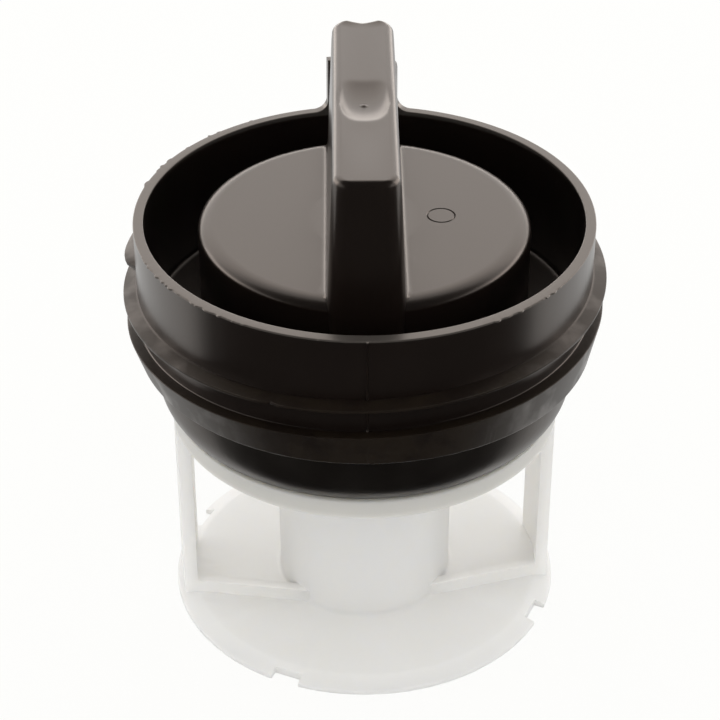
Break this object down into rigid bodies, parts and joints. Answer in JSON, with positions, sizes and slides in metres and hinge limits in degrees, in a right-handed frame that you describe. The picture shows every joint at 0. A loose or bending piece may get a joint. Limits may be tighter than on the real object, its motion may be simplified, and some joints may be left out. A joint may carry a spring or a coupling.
{
  "type": "washer pump filter",
  "caption": "Drain pump filter for a washing machine: black screw cap with a bar grip and coarse thread, rubber seal and a pale open basket with a notched foot.",
  "frame": {"origin": "on the axis of the thread, in the plane that the basket's foot stands on", "axes": "+Z along the axis from the foot to the grip, the grip's bar along Y, the tongue towards +Y"},
  "size_m": [0.0658, 0.0658, 0.0789],
  "materials": {
    "black_plastic": "satin moulded black plastic",
    "black_rubber": "smooth, slightly shiny black rubber",
    "milky_plastic": "translucent natural plastic"
  },
  "bodies": {
    "basket": {"filter_basket": "milky_plastic"},
    "cap": {"screw_cap": "black_plastic", "seal_ring": "black_rubber"}
  },
  "joints": [
    {"name": "cap_turn", "type": "hinge", "parent": "basket", "child": "cap", "pos_m": [0, 0, 0.0334], "axis": [0, 0, 1], "continuous": true}
  ]
}
